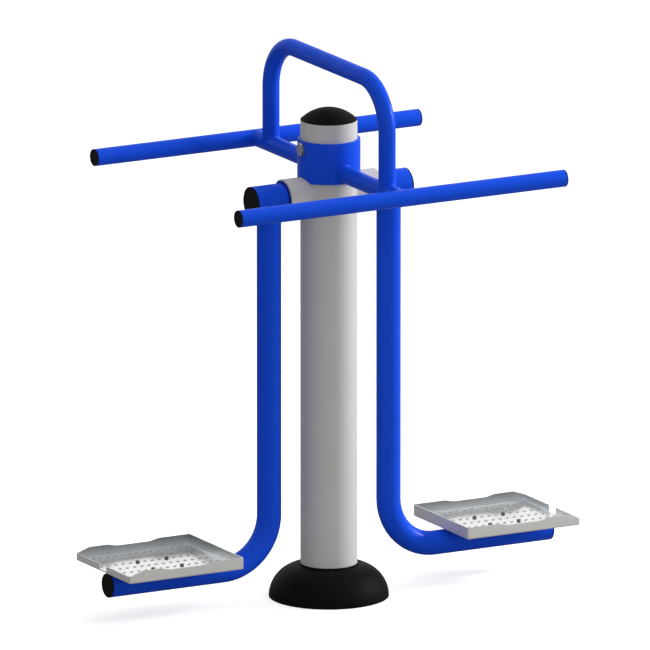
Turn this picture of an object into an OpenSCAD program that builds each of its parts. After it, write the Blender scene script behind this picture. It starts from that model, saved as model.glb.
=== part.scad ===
// Outdoor back and waist trainer: two hanging legs with footplates swing on one fixed axle, under
// a pair of long handrails and a hoop that stand on a collar round the column.
// Millimetres, +X to the right-hand leg, +Z up, origin on the ground at the column's axis.

/* [Column] */
// Outer diameter of the column tube
column_d = 139.7; // [120:0.1:150]
// Wall of the column tube
column_wall = 4.5; // [3:0.5:8]
// Height of the swing axle above the ground
axle_h = 1012; // [960:1:1100]
// Length of column left bare above the collar
column_rise = 46; // [30:1:90]
// Height of the domed cap above the column's end
cap_rise = 29.5; // [22:0.5:40]
// Wall of the domed cap
cap_wall = 3; // [2:0.5:4]
// Depth to which the cap's skirt reaches into the column
cap_skirt = 22; // [12:1:30]

/* [Base] */
// Diameter of the round base plate
base_d = 270; // [256:1:300]
// Thickness of the base plate
base_t = 10; // [8:1:16]
// Pitch circle of the anchor holes
anchor_pcd = 210; // [200:1:222]
// Diameter of the anchor holes
anchor_hole_d = 18; // [12:0.5:20]
// Number of anchor holes
anchor_n = 4; // [4:1:4]
// Height of the gussets above the base plate
gusset_h = 48; // [30:1:52]
// Run of the gussets along the base plate
gusset_run = 46; // [30:1:50]
// Thickness of the gussets
gusset_t = 6; // [4:1:10]
// Height of the domed base cover
cover_h = 80; // [76:1:95]
// Distance from the base plate's edge to the outside of the cover
cover_reach = 12.5; // [11:0.5:16]
// Wall of the base cover
cover_wall = 3; // [2:0.5:4]
// Height of the neck of the base cover above its dome
cover_neck_h = 4.5; // [2:0.5:6]
// Wall of that neck
cover_neck_t = 2.5; // [2:0.5:4]

/* [Bearing housing] */
// Outer diameter of the housing tube
housing_d = 97; // [90:0.5:101]
// Wall of the housing tube
housing_wall = 7; // [5:0.5:9]
// Length of the housing tube
housing_l = 256; // [220:1:280]
// Thickness of the discs that hold the axle in the housing
end_disc_t = 12; // [8:1:20]
// Length of the boss that spaces the first bearing from the housing
boss_l = 8; // [7:0.5:12]
// Outer diameter of the boss and of the sleeve between the bearings
sleeve_d = 36; // [34:0.5:40]

/* [Axle and bearings] */
// Diameter of the axle, and bore of the bearings
axle_d = 30; // [24:0.5:31]
// Diameter of the axle's threaded ends
thread_d = 20; // [16:0.5:22]
// Outer diameter of the bearings
bearing_d = 62; // [60:0.5:64]
// Width of one bearing
bearing_w = 16; // [12:0.5:18]
// Distance between the two bearings of a hub
bearing_gap = 32; // [20:1:40]
// Diameter of a bearing ball
ball_d = 9; // [7:0.5:9.5]
// Number of balls in a bearing
ball_n = 9; // [7:1:11]
// Thickness of the axle washer
axle_washer_t = 3; // [2:0.5:4]
// Thickness of the axle nut
axle_nut_t = 8; // [6:0.5:10]
// Size across the flats of the axle nut
axle_nut_af = 30; // [27:0.5:32]
// Thread length that stands out of the axle nut
thread_out = 1.5; // [1:0.5:3]

/* [Hub] */
// Outer diameter of the hub tube
hub_d = 80; // [72:0.1:84]
// Running gap between the hub flange and the housing
hub_gap = 0.8; // [0.5:0.1:1.5]
// Thickness of the hub flange
flange_t = 3; // [2:0.5:5]
// Width by which the hub flange stands out of the hub tube
flange_reach = 5.5; // [4:0.5:9]
// Height of the shoulders that hold the bearings' outer rings
shoulder = 3; // [2:0.5:4]
// Distance from the outer bearing to the end of the hub tube
hub_lip = 13.5; // [7:0.5:15]
// Wall of the hub cap
hub_cap_wall = 3; // [2:0.5:4]
// Air between the end of the axle and the hub cap
hub_cap_air = 1; // [0.5:0.1:3]

/* [Legs] */
// Outer diameter of the leg tube
leg_d = 60.3; // [54:0.1:62]
// Wall of the leg tube
leg_wall = 3; // [2:0.5:5]
// Distance from the column's axis to the hanging part of a leg
leg_x = 166.5; // [164:0.5:172]
// Bend radius of the leg tube along its axis
leg_bend_r = 128; // [100:1:140]
// Height of the lower run of the leg above the ground, at its axis
leg_run_h = 98; // [75:1:140]
// Length by which the footplate passes the end of the leg tube
leg_end_back = 12; // [2:1:20]

/* [Footplates] */
// Distance from the column's axis to the middle of a footplate
foot_x = 470; // [465:1:500]
// Length of a footplate, along the leg's lower run
foot_l = 316; // [290:1:330]
// Width of a footplate, across the leg's lower run
foot_w = 278; // [240:1:290]
// Sheet thickness of a footplate
foot_t = 3; // [2:0.5:4]
// Height of the inner rim and of the long rims
rim_h = 30; // [24:1:36]
// Height of the low outer rim
low_rim_h = 18; // [12:1:20]
// Length over which a long rim comes down to the low outer rim
rim_ramp_l = 36; // [20:1:45]
// Length of the dip in the middle of a long rim, from slope to slope
dip_l = 115; // [100:1:140]
// Depth of that dip
dip_depth = 5.5; // [4:0.5:8]
// Length of each slope into the dip
dip_slope = 34; // [16:1:40]
// Width of the drain notch in the outer rim
notch_w = 35; // [20:1:60]
// Diameter of the floor holes
grip_hole_d = 8; // [5:0.5:10]
// Distance between the floor holes of one row
grip_pitch = 20; // [20:1:30]
// Distance between two rows of floor holes
grip_row = 40; // [30:1:42]
// Margin from the floor's edge to the centres of the nearest holes
grip_margin = 12; // [10:1:20]

/* [Footplate bolts] */
// Distance between the footplate bolts, both ways
foot_bolt_span = 80; // [78:1:90]
// Diameter of the footplate bolts
foot_bolt_d = 6; // [6:0.5:8]
// Diameter of the bolt heads
bolt_head_d = 10.5; // [10:0.5:14]
// Height of the bolt heads
bolt_head_h = 4; // [3:0.5:9]
// Size across the flats of the socket in a bolt head
bolt_socket_af = 4; // [3:0.5:5]
// Size across the flats of the nuts
foot_nut_af = 10; // [10:0.5:13]
// Thickness of the nuts
foot_nut_t = 5; // [4:0.5:8]
// Side of the square bracket plate under a footplate
bracket_w = 124; // [120:1:140]
// Thickness of the bracket plate
bracket_t = 4; // [3:0.5:8]
// Thickness of the bracket ribs
rib_t = 5; // [3:0.5:6]
// Depth of the bracket ribs
rib_h = 24; // [16:1:28]

/* [Handrails and hoop] */
// Outer diameter of the handrail, arm and hoop tubes
rail_d = 42.4; // [38:0.1:44]
// Wall of those tubes
rail_wall = 2.6; // [2:0.2:4]
// Length of a handrail, with its plugs
rail_l = 906; // [800:1:1000]
// Distance from the column's axis to a handrail
rail_y = 370; // [350:1:400]
// Height of the arms and handrails above the swing axle
rail_rise = 64; // [62:1:80]
// Distance from the column's axis to an upright of the hoop
hoop_y = 296; // [260:1:300]
// Height of the hoop's top above the arms, at the tube's axis
hoop_rise = 265; // [240:1:320]
// Bend radius of the hoop along its axis
hoop_bend_r = 120; // [90:1:140]

/* [Collar and locking bolt] */
// Wall of the collar
collar_wall = 7.35; // [5:0.05:10]
// Height of the collar
collar_h = 101.5; // [100:0.5:120]
// Height of the collar's lower edge above the swing axle
collar_lift = 38.5; // [34:0.5:40]
// Gap between the collar's saddle and the housing
saddle_gap = 1.5; // [1:0.5:3]
// Distance of the locking bolt below the collar's upper edge
lock_drop = 21; // [20:0.5:30]
// Diameter of the locking bolt
lock_d = 20; // [16:0.5:20]
// Size across the flats of its head and nut
lock_af = 30; // [28:0.5:30]
// Height of its head
lock_head_h = 4; // [4:0.5:13]
// Thickness of its washer
lock_washer_t = 1; // [1:0.5:4]
// Outer diameter of its washer
lock_washer_d = 35; // [33:0.5:40]
// Thickness of its nut inside the column
lock_nut_t = 16; // [12:0.5:18]

/* [Plugs and fits] */
// Thickness of the visible part of a tube plug
plug_t = 3; // [2:0.5:6]
// Length of a plug inside its tube
plug_l = 24; // [12:1:30]
// Gap of a plug or a skirt in its tube, all round
plug_gap = 0.15; // [0.1:0.05:0.3]
// Root gap of the welded saddles
weld_gap = 0.3; // [0.2:0.1:0.5]
// Gap round the column in the collar and in the base cover
slide_gap = 0.3; // [0.2:0.1:0.5]
// Gap of the bearing rings, discs and threads on their seats, all round
seat_gap = 0.02; // [0.01:0.01:0.05]
// Gap between a ball and its groove
ball_gap = 0.1; // [0.05:0.05:0.1]
// Gap round a bolt in its hole
bolt_gap = 0.5; // [0.3:0.1:1]

/* [Hidden] */
$fn = 96;

// Colours as they look on the object
blue = "#1446D2";
deep_blue = "#0A3096";
pale_grey = "#A9AAAF";
sheet_grey = "#B4B6B8";
black = "#141416";
steel = "#8E9195";
dark_steel = "#3A3B3E";

// Cutting solids run this far past the faces that they cut
past = 1;

// Column and base
column_r = column_d / 2;
column_bore_r = column_r - column_wall;
collar_z = axle_h + collar_lift;
collar_top = collar_z + collar_h;
column_top = collar_top + column_rise;
cap_sphere_r = (column_r * column_r + cap_rise * cap_rise) / (2 * cap_rise);
base_r = base_d / 2;
cover_r = base_r + cover_reach;

// Housing, axle and bearings, as distances from the column's axis
housing_r = housing_d / 2;
housing_end = housing_l / 2;
axle_r = axle_d / 2;
thread_r = thread_d / 2;
sleeve_r = sleeve_d / 2;
bearing_r = bearing_d / 2;
ball_r = ball_d / 2;
ball_pitch_r = (axle_r + bearing_r) / 2;
ring_land = ball_r / 2 + ball_gap;
bearing_a = housing_end + boss_l;
bearing_b = bearing_a + bearing_w + bearing_gap;
axle_shoulder = bearing_b + bearing_w;
axle_nut_x = axle_shoulder + axle_washer_t;
axle_end = axle_nut_x + axle_nut_t + thread_out;

// Hub, as distances from the column's axis
hub_r = hub_d / 2;
flange_x = housing_end + hub_gap;
hub_x = flange_x + flange_t;
hub_end = axle_shoulder + hub_lip;
hub_bore_r = bearing_r + seat_gap;
shoulder_r = bearing_r - shoulder;
cap_face = max(axle_end + hub_cap_air, hub_end) + hub_cap_wall;

// Legs and footplates
leg_r = leg_d / 2;
leg_end = foot_x + foot_l / 2 - leg_end_back;
bend_x = leg_x + leg_bend_r;
bend_z = leg_run_h + leg_bend_r;
bracket_z = leg_run_h + leg_r + weld_gap;
foot_z = bracket_z + bracket_t;
floor_z = foot_z + foot_t;
foot_bolt_r = foot_bolt_d / 2;
rib_x = bracket_w / 2 - rib_t;

// Handrails, hoop and collar
rail_r = rail_d / 2;
rail_bore_r = rail_r - rail_wall;
rail_z = axle_h + rail_rise;
hoop_z = rail_z + hoop_rise;
collar_bore_r = column_r + slide_gap;
collar_r = collar_bore_r + collar_wall;
lock_z = collar_top - lock_drop;
lock_r = lock_d / 2;
lock_nut_face = sqrt(pow(column_bore_r, 2) - pow(hex_r(lock_af), 2)) - seat_gap;

// Corner radius of a hexagon from its size across the flats
function hex_r(af) = af / 2 / cos(30);

// Smooth step from 0 to 1 for t from 0 to 1
function ease(t) = (1 - cos(180 * t)) / 2;

// Shared shapes

// Turns the Z axis to the X axis
module along_x() {
    rotate([0, 90, 0]) children();
}

// Turns the Z axis to the -Y axis
module along_front() {
    rotate([90, 0, 0]) children();
}

// Children at the height of the swing axle, turned along X
module at_axle() {
    translate([0, 0, axle_h]) along_x() children();
}

// Children mirrored to the left-hand side
module left() {
    mirror([1, 0, 0]) children();
}

// Children mirrored to the rear
module rear() {
    mirror([0, 1, 0]) children();
}

// Straight tube along Z
module tube(length, outer_r, inner_r) {
    difference() {
        cylinder(h = length, r = outer_r);
        translate([0, 0, -past]) cylinder(h = length + 2 * past, r = inner_r);
    }
}

// Quarter bend in the XY plane, from the X axis to the Y axis
module quarter_bend(bend_r, outer_r, inner_r) {
    rotate_extrude(angle = 90) translate([bend_r, 0]) difference() {
        circle(r = outer_r);
        circle(r = inner_r);
    }
}

// Tube plug along Z, its visible disc on top of z = 0
module tube_plug(outer_r, inner_r) {
    cylinder(h = plug_t, r = outer_r);
    translate([0, 0, -plug_l]) cylinder(h = plug_l, r = inner_r - plug_gap);
}

// Hexagon nut along Z
module hex_nut(height, af, bore_r) {
    difference() {
        cylinder(h = height, r = hex_r(af), $fn = 6);
        translate([0, 0, -past]) cylinder(h = height + 2 * past, r = bore_r);
    }
}

// Four corners of the footplate bolts, for the right-hand leg
module at_foot_bolts() {
    for (sx = [-1, 1], sy = [-1, 1])
        translate([foot_x + sx * foot_bolt_span / 2, sy * foot_bolt_span / 2, 0]) children();
}

// Base

module base_plate() {
    color(dark_steel) difference() {
        cylinder(h = base_t, r = base_r);
        for (i = [0:anchor_n - 1])
            rotate(i * 360 / anchor_n) translate([anchor_pcd / 2, 0, -past])
                cylinder(h = base_t + 2 * past, d = anchor_hole_d);
    }
}

module base_gussets() {
    color(dark_steel) for (i = [0:anchor_n - 1])
        rotate((i + 0.5) * 360 / anchor_n) difference() {
            translate([0, gusset_t / 2, base_t]) along_front() linear_extrude(gusset_t)
                polygon([
                    [column_r - column_wall, 0],
                    [column_r + gusset_run, 0],
                    [column_r + gusset_run, gusset_t],
                    [column_r + gusset_t, gusset_h],
                    [column_r - column_wall, gusset_h]
                ]);
            translate([0, 0, base_t - past])
                cylinder(h = gusset_h + 2 * past, r = column_r + weld_gap);
        }
}

module base_cover() {
    color(black) rotate_extrude() {
        intersection() {
            translate([cover_r - cover_h, 0]) difference() {
                circle(r = cover_h);
                circle(r = cover_h - cover_wall);
            }
            translate([column_r + slide_gap, 0]) square([cover_r, cover_h + past]);
        }
        translate([column_r + slide_gap, cover_h - cover_wall / 2])
            square([cover_neck_t, cover_neck_h + cover_wall / 2]);
    }
}

// Column

module column_tube() {
    color(pale_grey) difference() {
        translate([0, 0, base_t]) tube(column_top - base_t, column_r, column_bore_r);
        at_axle() cylinder(h = column_d + 2 * past, r = housing_r + weld_gap, center = true);
        translate([0, 0, lock_z]) left() along_x()
            cylinder(h = column_r + past, r = lock_r + bolt_gap);
    }
}

module column_cap() {
    color(black) translate([0, 0, column_top]) rotate_extrude() {
        intersection() {
            translate([0, cap_rise - cap_sphere_r]) difference() {
                circle(r = cap_sphere_r);
                circle(r = cap_sphere_r - cap_wall);
            }
            square([column_r + past, cap_rise + past]);
        }
        translate([column_bore_r - plug_gap - cap_wall, -cap_skirt])
            square([cap_wall, cap_skirt + cap_wall / 2]);
    }
}

// Housing, axle and bearings

module bearing_housing() {
    color(pale_grey) at_axle() translate([0, 0, -housing_end])
        tube(housing_l, housing_r, housing_r - housing_wall);
}

module end_disc() {
    color(steel) at_axle() difference() {
        union() {
            translate([0, 0, housing_end - end_disc_t])
                cylinder(h = end_disc_t, r = housing_r - housing_wall - seat_gap);
            translate([0, 0, housing_end]) cylinder(h = boss_l, r = sleeve_r);
        }
        translate([0, 0, housing_end - end_disc_t - past])
            cylinder(h = end_disc_t + boss_l + 2 * past, r = axle_r + seat_gap);
    }
}

module left_end_disc() { left() end_disc(); }
module right_end_disc() { end_disc(); }

module axle() {
    color(steel) at_axle() rotate_extrude() polygon([
        [0, -axle_end], [thread_r, -axle_end],
        [thread_r, -axle_shoulder], [axle_r, -axle_shoulder],
        [axle_r, axle_shoulder], [thread_r, axle_shoulder],
        [thread_r, axle_end], [0, axle_end]
    ]);
}

// Outline shared by both rings of a bearing: a wall between two radii with the balls' groove
module bearing_ring(inner_r, outer_r, x) {
    at_axle() translate([0, 0, x]) rotate_extrude() difference() {
        translate([inner_r, 0]) square([outer_r - inner_r, bearing_w]);
        translate([ball_pitch_r, bearing_w / 2]) circle(r = ball_r + ball_gap);
    }
}

module inner_ring(x) {
    color(steel) bearing_ring(axle_r + seat_gap, ball_pitch_r - ring_land, x);
}

module outer_ring(x) {
    color(steel) bearing_ring(ball_pitch_r + ring_land, bearing_r, x);
}

module balls(x) {
    color(steel) at_axle() translate([0, 0, x + bearing_w / 2]) for (i = [0:ball_n - 1])
        rotate(i * 360 / ball_n) translate([ball_pitch_r, 0, 0]) sphere(r = ball_r);
}

module left_inner_ring_a() { left() inner_ring(bearing_a); }
module left_inner_ring_b() { left() inner_ring(bearing_b); }
module right_inner_ring_a() { inner_ring(bearing_a); }
module right_inner_ring_b() { inner_ring(bearing_b); }
module left_outer_ring_a() { left() outer_ring(bearing_a); }
module left_outer_ring_b() { left() outer_ring(bearing_b); }
module right_outer_ring_a() { outer_ring(bearing_a); }
module right_outer_ring_b() { outer_ring(bearing_b); }
module left_balls_a() { left() balls(bearing_a); }
module left_balls_b() { left() balls(bearing_b); }
module right_balls_a() { balls(bearing_a); }
module right_balls_b() { balls(bearing_b); }

module sleeve() {
    color(steel) at_axle() translate([0, 0, bearing_a + bearing_w])
        tube(bearing_gap, sleeve_r, axle_r + seat_gap);
}

module left_sleeve() { left() sleeve(); }
module right_sleeve() { sleeve(); }

module axle_washer() {
    color(steel) at_axle() translate([0, 0, axle_shoulder])
        tube(axle_washer_t, sleeve_r, thread_r + seat_gap);
}

module left_axle_washer() { left() axle_washer(); }
module right_axle_washer() { axle_washer(); }

module axle_nut() {
    color(steel) at_axle() translate([0, 0, axle_nut_x])
        hex_nut(axle_nut_t, axle_nut_af, thread_r + seat_gap);
}

module left_axle_nut() { left() axle_nut(); }
module right_axle_nut() { axle_nut(); }

// Collar and locking bolt

module collar() {
    color(blue) difference() {
        translate([0, 0, collar_z]) tube(collar_h, collar_r, collar_bore_r);
        at_axle() cylinder(h = 2 * collar_r + 2 * past, r = housing_r + saddle_gap, center = true);
        translate([0, 0, lock_z]) left() along_x()
            cylinder(h = collar_r + past, r = lock_r + bolt_gap);
    }
}

// Children along -X at the locking bolt, with z = 0 on the column's axis
module at_lock() {
    translate([0, 0, lock_z]) left() along_x() children();
}

lock_seat = collar_r + seat_gap;
lock_head = lock_seat + lock_washer_t;

module locking_bolt() {
    color(steel) at_lock() {
        translate([0, 0, lock_head]) cylinder(h = lock_head_h, r = hex_r(lock_af), $fn = 6);
        translate([0, 0, lock_nut_face - lock_nut_t - plug_t])
            cylinder(h = lock_head - lock_nut_face + lock_nut_t + plug_t, r = lock_r);
    }
}

module locking_washer() {
    color(steel) at_lock() translate([0, 0, lock_seat])
        tube(lock_washer_t, lock_washer_d / 2, lock_r + bolt_gap);
}

module locking_nut() {
    color(steel) at_lock() translate([0, 0, lock_nut_face - lock_nut_t])
        hex_nut(lock_nut_t, lock_af, lock_r + seat_gap);
}

// Arms, handrails and hoop

module front_arm() {
    color(blue) difference() {
        translate([0, 0, rail_z]) along_front() tube(rail_y, rail_r, rail_bore_r);
        translate([0, 0, rail_z - rail_d]) cylinder(h = 2 * rail_d, r = collar_r + weld_gap);
        translate([0, -rail_y, rail_z]) along_x()
            cylinder(h = 2 * rail_d, r = rail_r + weld_gap, center = true);
    }
}

module rear_arm() { rear() front_arm(); }

module handrail() {
    color(blue) translate([plug_t - rail_l / 2, -rail_y, rail_z]) along_x()
        tube(rail_l - 2 * plug_t, rail_r, rail_bore_r);
}

module front_handrail() { handrail(); }
module rear_handrail() { rear() handrail(); }

module rail_plug() {
    color(black) translate([rail_l / 2 - plug_t, -rail_y, rail_z]) along_x()
        tube_plug(rail_r, rail_bore_r);
}

module front_left_plug() { left() rail_plug(); }
module front_right_plug() { rail_plug(); }
module rear_left_plug() { rear() left() rail_plug(); }
module rear_right_plug() { rear() rail_plug(); }

module top_hoop() {
    flat = hoop_y - hoop_bend_r;
    color(blue) difference() {
        union() {
            for (side = [0, 1]) mirror([0, side, 0]) {
                translate([0, hoop_y, rail_z])
                    tube(hoop_rise - hoop_bend_r, rail_r, rail_bore_r);
                translate([0, flat, hoop_z - hoop_bend_r])
                    rotate([90, 0, 90]) quarter_bend(hoop_bend_r, rail_r, rail_bore_r);
            }
            translate([0, flat, hoop_z]) along_front() tube(2 * flat, rail_r, rail_bore_r);
        }
        translate([0, 0, rail_z]) along_front()
            cylinder(h = 2 * rail_y, r = rail_r + weld_gap, center = true);
    }
}

// Hub

module hub() {
    mid = bearing_a + bearing_w;
    color(blue) at_axle() rotate_extrude() polygon([
        [hub_r, hub_x], [hub_r, hub_end], [hub_bore_r, hub_end],
        [hub_bore_r, bearing_b], [shoulder_r, bearing_b],
        [shoulder_r, mid], [hub_bore_r, mid], [hub_bore_r, hub_x]
    ]);
}

module hub_flange() {
    color(deep_blue) at_axle() rotate_extrude() polygon([
        [shoulder_r, flange_x], [hub_r + flange_reach, flange_x],
        [hub_r + flange_reach, hub_x], [bearing_r - plug_gap, hub_x],
        [bearing_r - plug_gap, bearing_a], [shoulder_r, bearing_a]
    ]);
}

module hub_cap() {
    edge = hub_cap_wall / 2;
    color(black) at_axle() rotate_extrude() polygon([
        [shoulder_r, axle_shoulder], [bearing_r - plug_gap, axle_shoulder],
        [bearing_r - plug_gap, hub_end], [hub_r, hub_end],
        [hub_r, cap_face - edge], [hub_r - edge, cap_face], [0, cap_face],
        [0, cap_face - hub_cap_wall], [shoulder_r, cap_face - hub_cap_wall]
    ]);
}

module left_hub() { left() hub(); }
module right_hub() { hub(); }
module left_hub_flange() { left() hub_flange(); }
module right_hub_flange() { hub_flange(); }
module left_hub_cap() { left() hub_cap(); }
module right_hub_cap() { hub_cap(); }

// Legs

module leg() {
    bore_r = leg_r - leg_wall;
    color(blue) difference() {
        union() {
            translate([leg_x, 0, bend_z]) tube(axle_h - bend_z, leg_r, bore_r);
            translate([bend_x, 0, bend_z]) rotate([90, 180, 0])
                quarter_bend(leg_bend_r, leg_r, bore_r);
            translate([bend_x, 0, leg_run_h]) along_x()
                tube(leg_end - plug_t - bend_x, leg_r, bore_r);
        }
        at_axle() cylinder(h = 2 * cap_face, r = hub_r + weld_gap);
    }
}

module leg_plug() {
    color(black) translate([leg_end - plug_t, 0, leg_run_h]) along_x()
        tube_plug(leg_r, leg_r - leg_wall);
}

module left_leg() { left() leg(); }
module right_leg() { leg(); }
module left_leg_plug() { left() leg_plug(); }
module right_leg_plug() { leg_plug(); }

// Footplates

module bracket() {
    half = bracket_w / 2;
    color(blue) difference() {
        union() {
            translate([foot_x - half, -half, bracket_z]) cube([bracket_w, bracket_w, bracket_t]);
            for (sx = [-1, 1], side = [0, 1]) mirror([0, side, 0])
                translate([foot_x + sx * rib_x + rib_t / 2, 0, bracket_z]) rotate([90, 0, -90])
                    linear_extrude(rib_t) polygon([
                        [-leg_r * 0.7, 0], [-half, 0], [-half, -rib_t],
                        [-leg_r - rib_t, -rib_h], [-leg_r * 0.7, -rib_h]
                    ]);
        }
        translate([bend_x, 0, leg_run_h]) along_x()
            cylinder(h = foot_l + foot_x, r = leg_r + weld_gap);
        at_foot_bolts() translate([0, 0, bracket_z - past])
            cylinder(h = bracket_t + 2 * past, r = foot_bolt_r + bolt_gap);
    }
}

// Outline of a long rim, x from the footplate's middle and y up from its underside
module long_rim_outline() {
    half = foot_l / 2;
    steps = 8;
    dip = dip_l / 2;
    slope = [for (i = [0:steps]) i / steps];
    polygon(concat(
        [[-half, 0], [half, 0], [half, low_rim_h], [half - rim_ramp_l, rim_h]],
        [for (t = slope) [dip + dip_slope * (0.5 - t), rim_h - dip_depth * ease(t)]],
        [for (t = slope) [dip_slope * (0.5 - t) - dip, rim_h - dip_depth * (1 - ease(t))]],
        [[-half, rim_h]]
    ));
}

// Centres of the floor holes: staggered rows that keep clear of the bolt heads and the edges
function clear_of_bolts(x, y) =
    max(abs(abs(x) - foot_bolt_span / 2), abs(abs(y) - foot_bolt_span / 2))
        > bolt_head_d / 2 + grip_hole_d / 2;

module grip_holes() {
    nx = floor((foot_l / 2 - grip_margin) / grip_pitch * 2);
    ny = floor((foot_w / 2 - grip_margin) / grip_row);
    for (j = [-ny:ny], i = [-nx:nx]) {
        x = i * grip_pitch / 2;
        y = j * grip_row;
        if ((i + j) % 2 != 0 && clear_of_bolts(x, y)) translate([x, y]) circle(d = grip_hole_d);
    }
}

module footplate() {
    color(sheet_grey) translate([foot_x, 0, foot_z]) {
        linear_extrude(foot_t) difference() {
            square([foot_l, foot_w], center = true);
            grip_holes();
            for (sx = [-1, 1], sy = [-1, 1])
                translate([sx, sy] * foot_bolt_span / 2) circle(r = foot_bolt_r + bolt_gap);
        }
        for (side = [0, 1]) mirror([0, side, 0]) {
            translate([0, -foot_w / 2 + foot_t, 0]) along_front()
                linear_extrude(foot_t) long_rim_outline();
            translate([foot_l / 2 - foot_t, notch_w / 2, 0])
                cube([foot_t, (foot_w - notch_w) / 2, low_rim_h]);
        }
        translate([-foot_l / 2, -foot_w / 2, 0]) cube([foot_t, foot_w, rim_h]);
    }
}

module foot_bolts() {
    shank = foot_t + bracket_t + foot_nut_t + foot_t / 2;
    color(dark_steel) at_foot_bolts() difference() {
        union() {
            translate([0, 0, floor_z]) cylinder(h = bolt_head_h, d = bolt_head_d);
            translate([0, 0, floor_z - shank]) cylinder(h = shank, r = foot_bolt_r);
        }
        translate([0, 0, floor_z + bolt_head_h / 2])
            cylinder(h = bolt_head_h, r = hex_r(bolt_socket_af), $fn = 6);
    }
}

module foot_nuts() {
    color(dark_steel) at_foot_bolts() translate([0, 0, bracket_z - foot_nut_t])
        hex_nut(foot_nut_t, foot_nut_af, foot_bolt_r + seat_gap);
}

module left_bracket() { left() bracket(); }
module right_bracket() { bracket(); }
module left_footplate() { left() footplate(); }
module right_footplate() { footplate(); }
module left_foot_bolts() { left() foot_bolts(); }
module right_foot_bolts() { foot_bolts(); }
module left_foot_nuts() { left() foot_nuts(); }
module right_foot_nuts() { foot_nuts(); }

base_plate();
base_gussets();
base_cover();
column_tube();
column_cap();
bearing_housing();
left_end_disc();
right_end_disc();
axle();
left_inner_ring_a();
left_inner_ring_b();
right_inner_ring_a();
right_inner_ring_b();
left_sleeve();
right_sleeve();
left_axle_washer();
right_axle_washer();
left_axle_nut();
right_axle_nut();
collar();
locking_bolt();
locking_washer();
locking_nut();
front_arm();
rear_arm();
top_hoop();
front_handrail();
rear_handrail();
front_left_plug();
front_right_plug();
rear_left_plug();
rear_right_plug();
left_hub();
left_hub_flange();
left_outer_ring_a();
left_outer_ring_b();
left_balls_a();
left_balls_b();
left_hub_cap();
left_leg();
left_leg_plug();
left_bracket();
left_footplate();
left_foot_bolts();
left_foot_nuts();
right_hub();
right_hub_flange();
right_outer_ring_a();
right_outer_ring_b();
right_balls_a();
right_balls_b();
right_hub_cap();
right_leg();
right_leg_plug();
right_bracket();
right_footplate();
right_foot_bolts();
right_foot_nuts();
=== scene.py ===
"""The look of an outdoor back and waist trainer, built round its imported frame.

Every length is in metres, in the frame's axes: +X to the right-hand leg, +Y to the rear, +Z up.
"""

import logging
import math
from collections.abc import Callable, Iterable, Sequence
from dataclasses import dataclass, field
from enum import Enum

import bmesh
import bpy
from bmesh.types import BMesh, BMEdge, BMVert
from bpy.types import ID, Material, Mesh, Node, NodeSocket, NodeTree, Object
from mathutils import Matrix, Vector


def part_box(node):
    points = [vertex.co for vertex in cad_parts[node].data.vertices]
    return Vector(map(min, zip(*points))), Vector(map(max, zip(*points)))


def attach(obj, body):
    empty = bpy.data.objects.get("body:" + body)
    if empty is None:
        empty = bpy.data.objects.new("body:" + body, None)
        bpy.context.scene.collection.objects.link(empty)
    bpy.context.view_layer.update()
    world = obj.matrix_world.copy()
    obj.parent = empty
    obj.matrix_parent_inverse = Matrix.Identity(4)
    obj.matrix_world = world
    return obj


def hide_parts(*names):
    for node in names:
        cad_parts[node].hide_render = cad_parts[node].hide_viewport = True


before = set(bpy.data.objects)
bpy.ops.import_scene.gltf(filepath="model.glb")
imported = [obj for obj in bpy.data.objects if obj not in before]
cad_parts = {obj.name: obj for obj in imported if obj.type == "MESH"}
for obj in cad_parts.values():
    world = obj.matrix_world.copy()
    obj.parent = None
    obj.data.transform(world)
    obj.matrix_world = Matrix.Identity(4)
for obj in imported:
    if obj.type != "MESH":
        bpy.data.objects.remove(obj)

log = logging.getLogger("trainer")

MM = 0.001
X, Y, Z = Vector((1, 0, 0)), Vector((0, 1, 0)), Vector((0, 0, 1))
ORIGIN = Vector((0, 0, 0))
# Points closer than this are one point
TINY = 1e-6
# Edges that turn by more than this shade as creases
CREASE = math.radians(35)
# A face or an edge is square to an axis, or along it, from this share of its unit vector on
FACING = 0.9


class Way(Enum):
    """One of two opposite ways along an axis."""

    @property
    def word(self) -> str:
        """The word in the names of the nodes on this way."""
        return self.name.lower()


class Side(Way):
    """The two halves of the trainer, by the sign of X."""

    LEFT = -1
    RIGHT = 1


class End(Way):
    """The front and the rear of the trainer, by the sign of Y."""

    FRONT = -1
    REAR = 1


class Kept(Enum):
    """What stays of a mesh that another one cuts, by the name of the Boolean operation."""

    OUTSIDE = "DIFFERENCE"
    SHARED = "INTERSECT"


@dataclass(frozen=True)
class Extent:
    """A node's box at rest."""

    low: Vector
    high: Vector

    @property
    def centre(self) -> Vector:
        """The middle of the box."""
        return (self.low + self.high) / 2

    @property
    def size(self) -> Vector:
        """The lengths of the box's sides."""
        return self.high - self.low


def box_of(node: str) -> Extent:
    """A dataclass field that holds the box of the node with this name."""
    return field(default_factory=lambda: Extent(*map(Vector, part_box(node))))


# Materials


def linear(code: str) -> tuple[float, float, float, float]:
    """Turns an sRGB hex colour to the linear colour that shaders take.

    Args:
        code: six hex digits after a hash mark.

    Returns:
        Red, green, blue and an alpha of 1.
    """
    parts = [int(code[i:i + 2], 16) / 255 for i in (1, 3, 5)]
    light = [p / 12.92 if p <= 0.04045 else ((p + 0.055) / 1.055) ** 2.4 for p in parts]
    return (*light, 1.0)


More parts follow.
